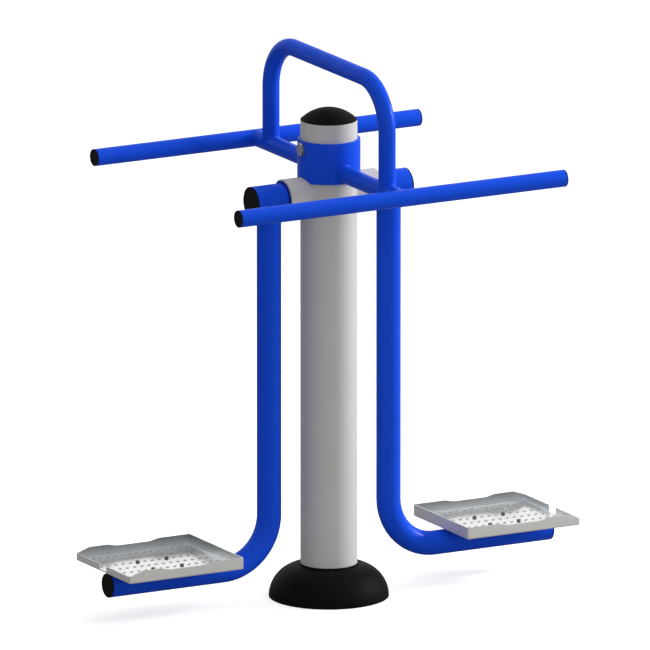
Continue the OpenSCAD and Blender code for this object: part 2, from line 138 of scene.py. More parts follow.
def add_node(
    tree: NodeTree,
    kind: str,
    inputs: dict[str | int, object] | None = None,
    links: dict[str | int, NodeSocket] | None = None,
    **settings: object,
) -> Node:
    """Adds a shader node with its settings and links.

    Args:
        tree: the node tree that gets the node.
        kind: the node's type, without its "ShaderNode" prefix.
        inputs: values of input sockets, by name or number.
        links: output sockets to link into input sockets, by name or number.
        settings: the node's own properties.

    Returns:
        The new node.
    """
    made = tree.nodes.new(f"ShaderNode{kind}")
    for key, value in settings.items():
        setattr(made, key, value)
    for key, value in (inputs or {}).items():
        made.inputs[key].default_value = value
    for key, socket in (links or {}).items():
        tree.links.new(socket, made.inputs[key])
    return made


@dataclass(frozen=True)
class Pattern:
    """A texture whose features lie a real distance apart."""

    kind: str
    apart_mm: float
    inputs: dict[str, float] = field(default_factory=dict)
    settings: dict[str, str] = field(default_factory=dict)
    output: str = "Fac"
    own_period: float = 1.0

    def add(self, tree: NodeTree, place: NodeSocket) -> NodeSocket:
        """The pattern's value at a place, from a new node in a material's tree."""
        inputs = {"Scale": self.own_period / (self.apart_mm * MM), **self.inputs}
        return add_node(tree, self.kind, inputs, {"Vector": place}, **self.settings).outputs[self.output]


@dataclass(frozen=True)
class Finish:
    """A surface finish on a principled shader.

    A pattern takes the colour to a second one, and the roughness through a spread below and above its
    middle. Another pattern gives the surface its relief.
    """

    name: str
    slot: str
    colour: str
    second: str
    roughness: float
    pattern: Pattern
    spread: tuple[float, float] = (0.05, 0.05)
    relief: Pattern | None = None
    relief_mm: float = 0.0
    relief_strength: float = 1.0
    metallic: float = 0.0
    specular: float = 0.5
    coat: float = 0.0
    coat_roughness: float = 0.03

    def place(self, tree: NodeTree) -> NodeSocket:
        """Where the patterns lie: the object coordinates."""
        return add_node(tree, "TexCoord").outputs["Object"]

    def factors(self, tree: NodeTree, place: NodeSocket) -> tuple[NodeSocket, NodeSocket]:
        """What the colour and what the roughness follow, both from 0 to 1."""
        factor = self.pattern.add(tree, place)
        return factor, factor

    def material(self) -> Material:
        """Makes the finish's material when it is first asked for.

        Returns:
            The material.
        """
        found = bpy.data.materials.get(self.name)
        if found:
            return found
        made = bpy.data.materials.new(self.name)
        made.use_nodes = True
        tree = made.node_tree
        shader = tree.nodes["Principled BSDF"]
        even = {
            "Base Color": linear(self.colour),
            "Roughness": self.roughness,
            "Metallic": self.metallic,
            "Specular IOR Level": self.specular,
            "Coat Weight": self.coat,
            "Coat Roughness": self.coat_roughness,
        }
        for key, value in even.items():
            shader.inputs[key].default_value = value
        place = self.place(tree)
        tone, gloss = self.factors(tree, place)
        # A mix node's sockets 6 and 7 are its two colours, and its output 2 is the mixed one
        colours = {6: linear(self.colour), 7: linear(self.second)}
        mix = add_node(tree, "Mix", colours, {0: tone}, data_type="RGBA")
        tree.links.new(mix.outputs[2], shader.inputs["Base Color"])
        below, above = self.spread
        ends = {"To Min": self.roughness - below, "To Max": self.roughness + above}
        spread = add_node(tree, "MapRange", ends, {"Value": gloss})
        tree.links.new(spread.outputs["Result"], shader.inputs["Roughness"])
        if self.relief:
            depth = {"Strength": self.relief_strength, "Distance": self.relief_mm * MM}
            bump = add_node(tree, "Bump", depth, {"Height": self.relief.add(tree, place)})
            tree.links.new(bump.outputs["Normal"], shader.inputs["Normal"])
        return made


@dataclass(frozen=True)
class PowderCoat(Finish):
    """Polyester powder coat, sprayed and baked on steel: a smooth satin film, darker where it is thicker.

    A faint cloud changes its colour and gloss. Its orange peel is drawn 5 mm wide where the real one is
    2 mm.
    """

    pattern: Pattern = Pattern("TexNoise", 160.0, {"Detail": 3.0})
    relief: Pattern | None = Pattern("TexNoise", 5.0, {"Detail": 1.0})
    relief_mm: float = 0.05
    specular: float = 0.03
    coat: float = 0.04
    coat_roughness: float = 0.12


@dataclass(frozen=True)
class MouldedPlastic(Finish):
    """Black polyethylene, injection moulded in an etched tool: slightly waxy, with rubbed high spots.

    The tool's fine leathery grain is drawn 3 mm wide where the real one is 0.5 mm.
    """

    pattern: Pattern = Pattern("TexNoise", 60.0, {"Detail": 4.0})
    spread: tuple[float, float] = (0.06, 0.08)
    relief: Pattern | None = Pattern("TexVoronoi", 3.0, settings={"feature": "SMOOTH_F1"}, output="Distance")
    relief_mm: float = 0.06
    relief_strength: float = 0.6
    specular: float = 0.03


# Belt scratches, drawn 1.6 mm apart where real grit 180 leaves them 0.1 mm apart
SCRATCHES = Pattern("TexNoise", 1.6, {"Detail": 3.0})


@dataclass(frozen=True)
class BrushedSheet(Finish):
    """Stainless sheet with a belt-ground finish: fine straight scratches along the footplate.

    The grinding leaves the sheet dull, and a film of dust makes it less of a metal. Where soles have rubbed
    it, it is clean and nearly a mirror again.
    """

    pattern: Pattern = SCRATCHES
    spread: tuple[float, float] = (0.08, 0.08)
    relief: Pattern | None = SCRATCHES
    relief_mm: float = 0.02
    relief_strength: float = 0.5
    stretch: float = 40.0

    def place(self, tree: NodeTree) -> NodeSocket:
        """The object coordinates, which draw a pattern out along X."""
        drawn = {"Scale": (1 / self.stretch, 1, 1)}
        return add_node(tree, "Mapping", drawn, {"Vector": super().place(tree)}).outputs["Vector"]


@dataclass(frozen=True)
class RimPaintedShade(BrushedSheet):
    """The inside of a footplate's rim, with painted shade that darkens its colour from the bottom to the top
    edge.
    """

    bottom_mm: float = 136.0
    top_mm: float = 158.0

    def factors(self, tree: NodeTree, place: NodeSocket) -> tuple[NodeSocket, NodeSocket]:
        """The height above the pan's floor for the colour, and the scratches for the roughness.

        Args:
            tree: the material's node tree.
            place: the coordinates.

        Returns:
            Both, from 0 to 1.
        """
        # The colour darkens to the second one with height alone: painted shade towards the rim's top edge
        height = add_node(tree, "SeparateXYZ", links={"Vector": place}).outputs["Z"]
        span = {"From Min": self.bottom_mm * MM, "From Max": self.top_mm * MM}
        grade = add_node(tree, "MapRange", span, {"Value": height})
        return grade.outputs["Result"], self.pattern.add(tree, place)


@dataclass(frozen=True)
class PlatedSteel(Finish):
    """Steel with a thin zinc or oxide layer from a bath: even, with a cloudy tarnish.

    Its satin grain is drawn 2 mm wide where the real one is 0.2 mm.
    """

    pattern: Pattern = Pattern("TexNoise", 14.0, {"Detail": 5.0})
    spread: tuple[float, float] = (0.08, 0.1)
    relief: Pattern | None = Pattern("TexNoise", 2.0)
    relief_mm: float = 0.03
    relief_strength: float = 0.4
    metallic: float = 1.0


@dataclass(frozen=True)
class HotDipZinc(Finish):
    """Hot-dip galvanised plate: dull zinc that froze in flat spangles, 14 mm wide."""

    pattern: Pattern = Pattern("TexVoronoi", 14.0, output="Color")
    spread: tuple[float, float] = (0.1, 0.1)
    metallic: float = 1.0

    def factors(self, tree: NodeTree, place: NodeSocket) -> tuple[NodeSocket, NodeSocket]:
        """Each spangle's own grey and its own gloss."""
        own = add_node(tree, "SeparateColor", links={"Color": self.pattern.add(tree, place)}).outputs
        return own["Red"], own["Green"]


@dataclass(frozen=True)
class TurnedSteel(Finish):
    """Bright steel from a lathe or a grinder: fine rings round the axle.

    They are drawn 1.5 mm apart where the tool's feed leaves them 0.2 mm apart.
    """

    pattern: Pattern = Pattern(
        "TexWave", 1.5, {"Distortion": 0.4}, {"bands_direction": "X"}, own_period=math.pi / 10,
    )
    metallic: float = 1.0


# Three coats: a strong blue, that blue darkened as painted shade on the hubs' flanges, and a warm light grey
# on the column
BLUE_COAT = PowderCoat("blue_powder_coat", "blue_paint", "#1850E0", "#174BD4", 0.34)
FLANGE_SHADED_COAT = PowderCoat("blue_powder_coat_painted_shade", "blue_paint", "#062A98", "#052488", 0.34)
GREY_COAT = PowderCoat("light_grey_powder_coat", "grey_paint", "#CBC9C6", "#C2C0BD", 0.36)
# A near black with a broad weak sheen, on the plugs, the caps and the base cover
BLACK_PLASTIC = MouldedPlastic("black_moulded_polyethylene", "black_plastic", "#100F0D", "#151412", 0.55)
# The pan is dusty and dull outside, nearly a mirror where soles stand, and grey where the punch tore it
SHEET = BrushedSheet(
    "belt_ground_stainless_sheet", "footplate_steel", "#DAD8D4", "#CCCAC6", 0.5, metallic=0.4,
)
TREAD = BrushedSheet(
    "shoe_polished_stainless_sheet", "footplate_steel", "#F4F3F0", "#E8E7E4", 0.18,
    spread=(0.04, 0.04), relief_mm=0.01, metallic=1.0,
)
PUNCHED = BrushedSheet(
    "punched_stainless_edge", "footplate_steel", "#C4C4C2", "#B6B6B4", 0.5, metallic=0.3,
)
# Inside the rims the sheet darkens towards the top edge, from the height alone: painted shade
RIM_PAINTED_SHADE = RimPaintedShade(
    "stainless_sheet_painted_rim_shade", "footplate_steel", "#DEE3E7", "#A2A7AB", 0.3, metallic=0.92,
)
# Zinc gives the nuts and washers a cool satin grey, and the oxide gives the bolts a soft dark sheen
ZINC = PlatedSteel("zinc_plated_steel", "zinc_steel", "#B9BBBE", "#6E7073", 0.34)
BLACK_OXIDE = PlatedSteel("black_oxide_steel", "black_oxide_steel", "#3C3E40", "#2A2C2E", 0.4)
GALVANISED = HotDipZinc("hot_dip_galvanised_steel", "galvanised_steel", "#9A9C9E", "#77797B", 0.45)
# Turned faces shine in rings, and the bearings' ground faces are smoother and brighter
TURNED = TurnedSteel("turned_steel", "machined_steel", "#A9ACAF", "#7B7E82", 0.28)
GROUND = TurnedSteel("ground_bearing_steel", "bearing_steel", "#C4C6C9", "#B2B4B8", 0.14)


# Mesh building


def data_of(name: str, bm: BMesh) -> Mesh:
    """Turns a mesh in work to mesh data.

    Args:
        name: the data's name.
        bm: the mesh. It is used up.

    Returns:
        The data.
    """
    mesh = bpy.data.meshes.new(name)
    bm.to_mesh(mesh)
    bm.free()
    return mesh


def placed(name: str, data: ID) -> Object:
    """Makes an object in the scene.

    Args:
        name: the object's name.
        data: its mesh, lamp or camera data.

    Returns:
        The object.
    """
    made = bpy.data.objects.new(name, data)
    bpy.context.scene.collection.objects.link(made)
    return made


def outwards(bm: BMesh) -> BMesh:
    """Turns a mesh's faces outwards, and gives the mesh back."""
    bmesh.ops.recalc_face_normals(bm, faces=bm.faces)
    return bm


def walled(bm: BMesh, thickness: float) -> BMesh:
    """Gives an open surface a wall of some thickness on its inner side, and gives the mesh back."""
    bmesh.ops.solidify(outwards(bm), geom=bm.faces[:], thickness=thickness)
    return outwards(bm)


def lathe(profile: Sequence[tuple[float, float]], closed: bool = True, steps: int = 96) -> BMesh:
    """Turns a profile once round the Z axis.

    Args:
        profile: points as (radius, place along Z).
        closed: whether the last point joins the first, as round a ring.
        steps: number of faces round.

    Returns:
        A closed mesh with its faces outwards.
    """
    bm = bmesh.new()
    points = [bm.verts.new((radius, 0, along)) for radius, along in profile]
    following = points[1:] + points[:1] if closed else points[1:]
    lines = [bm.edges.new(pair) for pair in zip(points, following)]
    bmesh.ops.spin(
        bm, geom=points + lines, cent=ORIGIN, axis=Z, dvec=ORIGIN, angle=2 * math.pi, steps=steps,
        use_merge=True, use_normal_flip=False, use_duplicate=False,
    )
    bmesh.ops.remove_doubles(bm, verts=bm.verts, dist=TINY)
    bmesh.ops.dissolve_degenerate(bm, edges=bm.edges, dist=TINY)
    return outwards(bm)


def arc(
    centre: tuple[float, float], radius: float, start: float, end: float, steps: int = 20
) -> list[tuple[float, float]]:
    """Points along an arc of a lathe's profile.

    Args:
        centre: the arc's centre, as (radius, place along Z).
        radius: its radius.
        start: where it starts, in radians from the radial direction towards +Z.
        end: where it ends.
        steps: number of stretches along it.

    Returns:
        The points, both ends among them.
    """
    turns = [start + (end - start) * i / steps for i in range(steps + 1)]
    return [(centre[0] + radius * math.cos(turn), centre[1] + radius * math.sin(turn)) for turn in turns]


def ring(inner: float, outer: float, low: float, high: float, steps: int = 96) -> BMesh:
    """A straight tube or a washer round the Z axis, between two radii and two places."""
    return lathe([(inner, low), (outer, low), (outer, high), (inner, high)], steps=steps)


def block(low: Vector, high: Vector) -> BMesh:
    """A box.

    Args:
        low: its lowest corner.
        high: its highest corner.

    Returns:
        The mesh.
    """
    bm = bmesh.new()
    place = Matrix.Translation((low + high) / 2) @ Matrix.Diagonal((*(high - low), 1))
    bmesh.ops.create_cube(bm, size=1, matrix=place)
    return bm


def rod(start: Vector, end: Vector, radius: float, sides: int = 64) -> BMesh:
    """A closed straight rod with flat ends.

    Args:
        start: the middle of one end.
        end: the middle of the other.
        radius: its radius.
        sides: number of faces round.

    Returns:
        The mesh.
    """
    bm = bmesh.new()
    along = end - start
    place = Matrix.Translation((start + end) / 2) @ along.to_track_quat("Z", "Y").to_matrix().to_4x4()
    bmesh.ops.create_cone(
        bm, cap_ends=True, segments=sides, radius1=radius, radius2=radius, depth=along.length, matrix=place,
    )
    return bm


def along_x(place: Vector) -> Matrix:
    """The transform that turns a lathe's Z axis to +X and puts its origin somewhere."""
    return Matrix.Translation(place) @ Matrix.Rotation(math.pi / 2, 4, "Y")


def moved(bm: BMesh, matrix: Matrix) -> BMesh:
    """Transforms a mesh, and turns its faces back outwards if that mirrors it.

    Args:
        bm: the mesh.
        matrix: the transform.

    Returns:
        The same mesh.
    """
    bm.transform(matrix)
    if matrix.determinant() < 0:
        bmesh.ops.reverse_faces(bm, faces=bm.faces)
    return bm


def mirrored(bm: BMesh, side: Side) -> BMesh:
    """Takes a mesh that was made for the right-hand side to the side given."""
    return moved(bm, Matrix.Scale(-1, 4, X)) if side is Side.LEFT else bm


def joined(parts: Iterable[BMesh]) -> BMesh:
    """Puts several meshes into one.

    Args:
        parts: the meshes. They are used up.

    Returns:
        The new mesh.
    """
    whole = bmesh.new()
    for part in parts:
        mesh = data_of("part", part)
        whole.from_mesh(mesh)
        bpy.data.meshes.remove(mesh)
    return whole


def soften(
    bm: BMesh,
    width_mm: float,
    segments: int = 2,
    degrees: float = 35.0,
    wanted: Callable[[BMEdge], bool] = lambda edge: True,
) -> BMesh:
    """Rounds the edges that turn by more than an angle.

    Args:
        bm: the mesh.
        width_mm: how far the rounding reaches from an edge.
        segments: number of faces across it.
        degrees: the least angle between an edge's two faces.
        wanted: which of those edges to round.

    Returns:
        The same mesh.
    """
    limit = math.radians(degrees)
    edges = [e for e in bm.edges if len(e.link_faces) == 2 and e.calc_face_angle(0) > limit and wanted(e)]
    bmesh.ops.bevel(
        bm, geom=edges, offset=width_mm * MM, offset_type="OFFSET", segments=segments, profile=0.5,
        affect="EDGES", clamp_overlap=True, material=-1,
    )
    return bm


def combined(target: BMesh, cutter: BMesh, kept: Kept = Kept.OUTSIDE) -> BMesh:
    """Cuts a mesh with another.

    Args:
        target: the mesh that is cut. It is used up.
        cutter: the mesh that cuts it. It is used up.
        kept: what stays of the target.

    Returns:
        A new mesh.
    """
    pair = [placed(name, data_of(name, bm)) for name, bm in (("target", target), ("cutter", cutter))]
    cut = pair[0].modifiers.new("cut", "BOOLEAN")
    cut.operation, cut.object, cut.solver = kept.value, pair[1], "EXACT"
    result = bmesh.new()
    result.from_mesh(pair[0].evaluated_get(bpy.context.evaluated_depsgraph_get()).to_mesh())
    for made in pair:
        mesh = made.data
        bpy.data.objects.remove(made)
        bpy.data.meshes.remove(mesh)
    bmesh.ops.remove_doubles(result, verts=result.verts, dist=TINY)
    return result


def show(
    name: str,
    bm: BMesh,
    finish: Finish,
    node: str = "",
    side: Side | None = None,
    weighted: bool = True,
    others: Sequence[Finish] = (),
) -> None:
    """Makes a finished piece of a mesh, on the post or on a pendulum.

    Args:
        name: the piece's name. A side puts its word before it.
        bm: the mesh in place, for a pendulum on the right-hand side. It is used up.
        finish: the surface finish.
        node: the node that it stands for, if any. A side puts its word before it.
        side: the side whose pendulum carries the piece, or None for the post.
        weighted: whether large faces set the shading of their rounded edges.
        others: the finishes of faces with a material index of 1 and on.
    """
    body = "post"
    if side is not None:
        body, name = f"{side.word}_pendulum", f"{side.word}_{name}"
        node = node and f"{side.word}_{node}"
        bm = mirrored(bm, side)
    for face in bm.faces:
        face.smooth = True
    for edge in bm.edges:
        edge.smooth = len(edge.link_faces) == 2 and edge.calc_face_angle(0) < CREASE
    mesh = data_of(name, bm)
    for used in (finish, *others):
        mesh.materials.append(used.material())
    piece = placed(name, mesh)
    if weighted:
        piece.modifiers.new("shading", "WEIGHTED_NORMAL").keep_sharp = True
    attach(piece, body)
    if node:
        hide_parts(node)
    log.info("%s: %d faces, %s", name, len(mesh.polygons), finish.name)


def edges_among(bm: BMesh, verts: Iterable[BMVert]) -> list[BMEdge]:
    """The edges of a mesh whose two ends are both among the vertices given."""
    wanted = set(verts)
    return [e for e in bm.edges if wanted.issuperset(e.verts)]


def verts_among(geometry: Iterable[object]) -> list[BMVert]:
    """The vertices among some elements of a mesh."""
    return [g for g in geometry if isinstance(g, BMVert)]


def next_ring(bm: BMesh, ring_verts: list[BMVert]) -> list[BMVert]:
    """Joins a new ring of vertices to one that is there, and gives the new one."""
    return verts_among(bmesh.ops.extrude_edge_only(bm, edges=edges_among(bm, ring_verts))["geom"])


@dataclass(frozen=True)
class RoundFace:
    """The outside of a tube, as a weld or a coped tube end meets it."""

    centre: Vector
    axis: Vector
    radius: float

    def normal(self, point: Vector) -> Vector:
        """The outward direction at a point."""
        offset = point - self.centre
        return (offset - self.axis * offset.dot(self.axis)).normalized()

    def onto(self, point: Vector) -> Vector:
        """The nearest point of the surface."""
        along = (point - self.centre).dot(self.axis)
        return self.centre + self.axis * along + self.normal(point) * self.radius

    def meet(self, point: Vector, away: Vector) -> Vector:
        """Moves a point along a direction until it lies on the surface.

        Args:
            point: the point.
            away: the direction out of the surface, square to its axis.

        Returns:
            The moved point.
        """
        offset = point - self.centre
        across = offset.dot(self.axis.cross(away))
        along = math.sqrt(max(self.radius ** 2 - across ** 2, 0))
        return point + away * (along - offset.dot(away))


@dataclass
class Pipe:
    """A round tube that is led along straight runs and bends, from its first ring on."""

    start: Vector
    direction: Vector
    radius: float
    sides: int = 64
    bm: BMesh = field(init=False)
    first: list[BMVert] = field(init=False)
    last: list[BMVert] = field(init=False)
    place: Vector = field(init=False)

    def __post_init__(self) -> None:
        """Draws the first ring."""
        self.bm = bmesh.new()
        turn = self.direction.to_track_quat("Z", "Y").to_matrix().to_4x4()
        circle = bmesh.ops.create_circle(
            self.bm, cap_ends=False, segments=self.sides, radius=self.radius,
            matrix=Matrix.Translation(self.start) @ turn,
        )
        self.first = self.last = circle["verts"]
        self.place = self.start.copy()

    def run(self, length: float) -> "Pipe":
        """Leads the tube straight on.

        Args:
            length: how far.

        Returns:
            The pipe.
        """
        self.last = next_ring(self.bm, self.last)
        bmesh.ops.translate(self.bm, verts=self.last, vec=self.direction * length)
        self.place += self.direction * length
        return self

    def bend(self, towards: Vector, bend_radius: float, steps: int = 28) -> "Pipe":
        """Leads the tube through a right angle.

        Args:
            towards: the direction that the tube turns to.
            bend_radius: radius of the bend along the tube's axis.
            steps: number of faces along the bend.

        Returns:
            The pipe.
        """
        made = bmesh.ops.spin(
            self.bm, geom=self.last + edges_among(self.bm, self.last),
            cent=self.place + towards * bend_radius, axis=self.direction.cross(towards), dvec=ORIGIN,
            angle=math.pi / 2, steps=steps, use_merge=False, use_normal_flip=False, use_duplicate=False,
        )["geom_last"]
        self.last = verts_among(made)
        self.place += (self.direction + towards) * bend_radius
        self.direction = towards.copy()
        return self

    def cope(self, end: list[BMVert], away: Vector, base: RoundFace) -> "Pipe":
        """Shapes an end to the tube that it is welded on.

        Args:
            end: the first or the last ring.
            away: the direction from the joint along this tube.
            base: the tube that it meets.

        Returns:
            The pipe.
        """
        for vert in end:
            vert.co = base.meet(vert.co, away)
        return self


@dataclass(frozen=True)
class FilletWeld:
    """A hollow fillet weld round a tube's end, laid in short overlapping ripples and coated over.

    The tube's axis points away from the base that it stands on.
    """

    tube: RoundFace
    base: RoundFace
    leg: float = 3.5 * MM
    hollow: float = 0.3
    proud: float = 0.2 * MM
    sunk: float = 0.2 * MM
    root: float = 1 * MM
    ripple: float = 0.1 * MM
    ripple_pitch: float = 2.8 * MM
    points_per_ripple: int = 4
    rows: int = 5

    def seam(self) -> list[Vector]:
        """The line on which the tube's outside meets the base.

        Returns:
            Points round the line.
        """
        tube, side = self.tube, self.base.axis
        other = tube.axis.cross(side)
        count = round(2 * math.pi * tube.radius / self.ripple_pitch) * self.points_per_ripple
        turns = [2 * math.pi * i / count for i in range(count)]
        circle = [tube.centre + (side * math.cos(t) + other * math.sin(t)) * tube.radius for t in turns]
        return [self.base.meet(point, tube.axis) for point in circle]

    def section(self, spot: Vector, along: Vector, wave: float) -> list[Vector]:
        """The weld's closed section at one point of the seam.

        Args:
            spot: the point of the seam.
            along: the seam's direction there.
            wave: height of the ripple there, from -1 to 1.

        Returns:
            Points from the toe on the base to the toe on the tube, then the root.
        """
        up, out = self.base.normal(spot), self.tube.normal(spot)
        low = self.base.onto(spot + along.cross(up) * self.leg) - up * self.sunk
        high = self.tube.onto(spot + out.cross(along) * self.leg) - out * self.sunk
        bisector = (up + out).normalized()
        middle = spot + (low + high - spot * 2) * self.hollow + bisector * (self.proud + self.ripple * wave)
        pull = middle * 2 - (low + high) / 2
        shares = [i / self.rows for i in range(self.rows + 1)]
        skin = [low * (1 - s) ** 2 + pull * 2 * s * (1 - s) + high * s ** 2 for s in shares]
        return skin + [spot - bisector * self.root]

    def mesh(self) -> BMesh:
        """The weld, drawn row by row from the toe on the base.

        Returns:
            The weld's closed mesh.
        """
        seam = self.seam()
        sections = []
        for i, spot in enumerate(seam):
            along = (seam[(i + 1) % len(seam)] - seam[i - 1]).normalized()
            wave = math.cos(2 * math.pi * i / self.points_per_ripple)
            sections.append(self.section(spot, along, wave))
        bm = bmesh.new()
        first = row = bmesh.ops.create_circle(bm, segments=len(seam), radius=self.tube.radius)["verts"]
        for number, places in enumerate(zip(*sections)):
            if number:
                row = next_ring(bm, row)
            for vert, place in zip(row, places):
                vert.co = place
        bmesh.ops.bridge_loops(bm, edges=edges_among(bm, first) + edges_among(bm, row))
        return outwards(bm)


@dataclass(frozen=True)
class Plug:
    """A moulded plug in the right-hand end of a tube: a flush disc with a rounded rim and a shallow dish."""

    tube_radius: float
    tube_wall: float
    extent: Extent
    thickness: float = 3 * MM
    gap: float = 0.15 * MM
    rim: float = 4 * MM
    dish: float = 0.9 * MM

    def mesh(self, tube_end: Vector) -> BMesh:
        """The plug, its visible face towards +X.

        Args:
            tube_end: the middle of the tube's end.

        Returns:
            The mesh.
        """
        outer, top = self.tube_radius, self.thickness
        inner = outer - self.tube_wall - self.gap
        inside = top - self.extent.size.x
        edge, floor = outer - self.rim, top - self.dish
        profile = [
            (0, inside), (inner, inside), (inner, 0), (outer, 0), (outer, top), (edge, top),
            (edge - self.dish, floor), (0, floor),
        ]
        return moved(soften(lathe(profile, closed=False, steps=72), 0.6, 3), along_x(tube_end))


@dataclass(frozen=True)
class Hexagon:
    """A hexagon head or nut along Z from z = 0, its corners turned off to a cone at the top."""

    across_flats: float
    height: float
    top_share: float = 0.96
    blank_share: float = 1.05
    drop_share: float = 1.6
    chamfer_degrees: float = 30.0

    def mesh(self) -> BMesh:
        """The hexagon: a prism inside a turned blank.

        Returns:
            The mesh.
        """
        corner, top = self.across_flats / math.sqrt(3), self.across_flats / 2 * self.top_share
        blank = corner * self.blank_share
        drop = (corner - top) * math.tan(math.radians(self.chamfer_degrees)) * self.drop_share
        turned = lathe(
            [(0, -self.height), (blank, -self.height), (blank, self.height - drop), (top, self.height),
             (0, self.height)],
            closed=False, steps=72,
        )
        return combined(rod(ORIGIN, Z * self.height, corner, 6), turned, Kept.SHARED)


# The post: base, column, housing, collar, rails


@dataclass
class Column:
    """The fixed post with its base cover, cap and bearing housing."""

    wall: float = 4.5 * MM
    cover_wall: float = 3 * MM
    cover_gap: float = 0.3 * MM
    neck_height: float = 4.5 * MM
    neck_wall: float = 2.5 * MM
    cap_wall: float = 3 * MM
    cap_gap: float = 0.15 * MM
    cap_band: float = 0.8 * MM
    housing_wall: float = 7 * MM
    hole_gap: float = 0.3 * MM
    tube: Extent = box_of("column_tube")
    cap: Extent = box_of("column_cap")
    cover: Extent = box_of("base_cover")
    housing: Extent = box_of("bearing_housing")

    @property
    def radius(self) -> float:
        """Outer radius of the column tube."""
        return self.tube.size.x / 2

    @property
    def axle(self) -> Vector:
        """The point of the swing axle on the column's axis."""
        return Z * self.housing.centre.z

    @property
    def housing_radius(self) -> float:
        """Outer radius of the bearing housing."""
        return self.housing.size.y / 2

    def housing_cutter(self, gap: float) -> BMesh:
        """A rod in the place of the housing, a gap wider all round."""
        reach = X * (self.housing.high.x + self.housing_radius)
        return rod(self.axle - reach, self.axle + reach, self.housing_radius + gap, 96)

    def build(self) -> None:
        """Makes the column's pieces."""
        self.build_tube()
        self.build_cap()
        self.build_cover()
        self.build_housing()

    def build_tube(self) -> None:
        """The column tube, opened where the housing passes through it."""
        bm = ring(self.radius - self.wall, self.radius, self.tube.low.z, self.tube.high.z, 144)
        bm = combined(bm, self.housing_cutter(self.hole_gap))
        show("column", bm, GREY_COAT, "column_tube", weighted=False)

    def build_cap(self) -> None:
        """The domed cap: a thin shell on the column's rim, with a skirt inside the tube."""
        outer, rim, foot, top = self.radius, self.tube.high.z, self.cap.low.z, self.cap.high.z
        rise = top - rim
        dome = (outer ** 2 + rise ** 2) / (2 * rise)
        centre = (0, top - dome)
        skirt = outer - self.wall - self.cap_gap
        hollow, hollow_dome = skirt - self.cap_wall, dome - self.cap_wall
        upright = math.pi / 2
        outside = arc(centre, dome, upright, math.acos(outer / dome))[:-1]
        band = [(outer, rim + self.cap_band), (outer, rim), (skirt, rim), (skirt, foot), (hollow, foot)]
        inside = arc(centre, hollow_dome, math.acos(hollow / hollow_dome), upright)
        bm = lathe(outside + band + inside, closed=False)
        show("column_cap_dome", soften(bm, 0.5, 2, 50), BLACK_PLASTIC, "column_cap")

    def build_cover(self) -> None:
        """The domed cover on the ground round the column's foot, with a low neck round the column."""
        top = self.cover.high.z
        dome = top - self.neck_height
        hollow = dome - self.cover_wall
        across = self.cover.size.x / 2 - dome
        inner = self.radius + self.cover_gap
        outer = inner + self.neck_wall
        outside = arc((across, 0), dome, 0, math.acos((outer - across) / dome), 28)
        inside = arc((across, 0), hollow, math.acos((inner - across) / hollow), 0, 28)
        bm = lathe(outside + [(outer, top), (inner, top)] + inside, steps=128)
        show("base_cover_dome", soften(bm, 0.7, 3, 50), BLACK_PLASTIC, "base_cover")

    def build_housing(self) -> None:
        """The bearing housing across the column, and the welds that hold it."""
        outer = self.housing_radius
        bm = ring(outer - self.housing_wall, outer, self.housing.low.x, self.housing.high.x)
        show("housing", soften(moved(bm, along_x(self.axle)), 0.8, 3), GREY_COAT, "bearing_housing")
        wall = RoundFace(ORIGIN, Z, self.radius)
        welds = [FilletWeld(RoundFace(self.axle, X * side.value, outer), wall).mesh() for side in Side]
        show("housing_welds", joined(welds), GREY_COAT, weighted=False)


@dataclass
class Collar:
    """The sleeve on the column that carries the rails, with its locking bolt and washer."""

    column: Column
    gap: float = 0.3 * MM
    saddle_gap: float = 1.5 * MM
    bolt_gap: float = 0.5 * MM
    bolt_flats: float = 30 * MM
    bolt_radius: float = 10 * MM
    sleeve: Extent = box_of("collar")
    bolt: Extent = box_of("locking_bolt")
    washer: Extent = box_of("locking_washer")

    @property
    def radius(self) -> float:
        """Outer radius of the sleeve."""
        return self.sleeve.size.x / 2

    @property
    def bolt_level(self) -> Vector:
        """The point of the bolt's axis on the column's axis."""
        return Z * self.bolt.centre.z

    def build(self) -> None:
        """Makes the sleeve and what locks it."""
        self.build_sleeve()
        self.build_bolt()

    def build_sleeve(self) -> None:
        """The sleeve, cut out over the housing and drilled for the bolt, its edges rounded by the coat."""
        bm = ring(self.column.radius + self.gap, self.radius, self.sleeve.low.z, self.sleeve.high.z, 144)
        bm = combined(soften(bm, 1.0, 3), self.column.housing_cutter(self.saddle_gap))
        outside = self.bolt_level - X * self.radius * 2
        bm = combined(bm, rod(self.bolt_level, outside, self.bolt_radius + self.bolt_gap))
        show("collar_sleeve", bm, BLUE_COAT, "collar", weighted=False)

    def build_bolt(self) -> None:
        """The hexagon bolt and its washer, both pointing to -X."""
        turn = Matrix.Translation(self.bolt_level) @ Matrix.Rotation(-math.pi / 2, 4, "Y")
        seat, sheet = -self.washer.low.x, -self.washer.high.x
        head = moved(Hexagon(self.bolt_flats, -self.bolt.low.x - seat).mesh(), Matrix.Translation(Z * seat))
        shank = rod(Z * -self.bolt.high.x, Z * (seat + MM), self.bolt_radius, 48)
        bolt = moved(joined([soften(head, 0.4, 2, 20), shank]), turn)
        show("locking_bolt_hexagon", bolt, ZINC, "locking_bolt")
        washer = soften(ring(self.bolt_radius + self.bolt_gap, self.washer.size.z / 2, sheet, seat, 72), 0.4)
        show("locking_bolt_washer", moved(washer, turn), ZINC, "locking_washer")


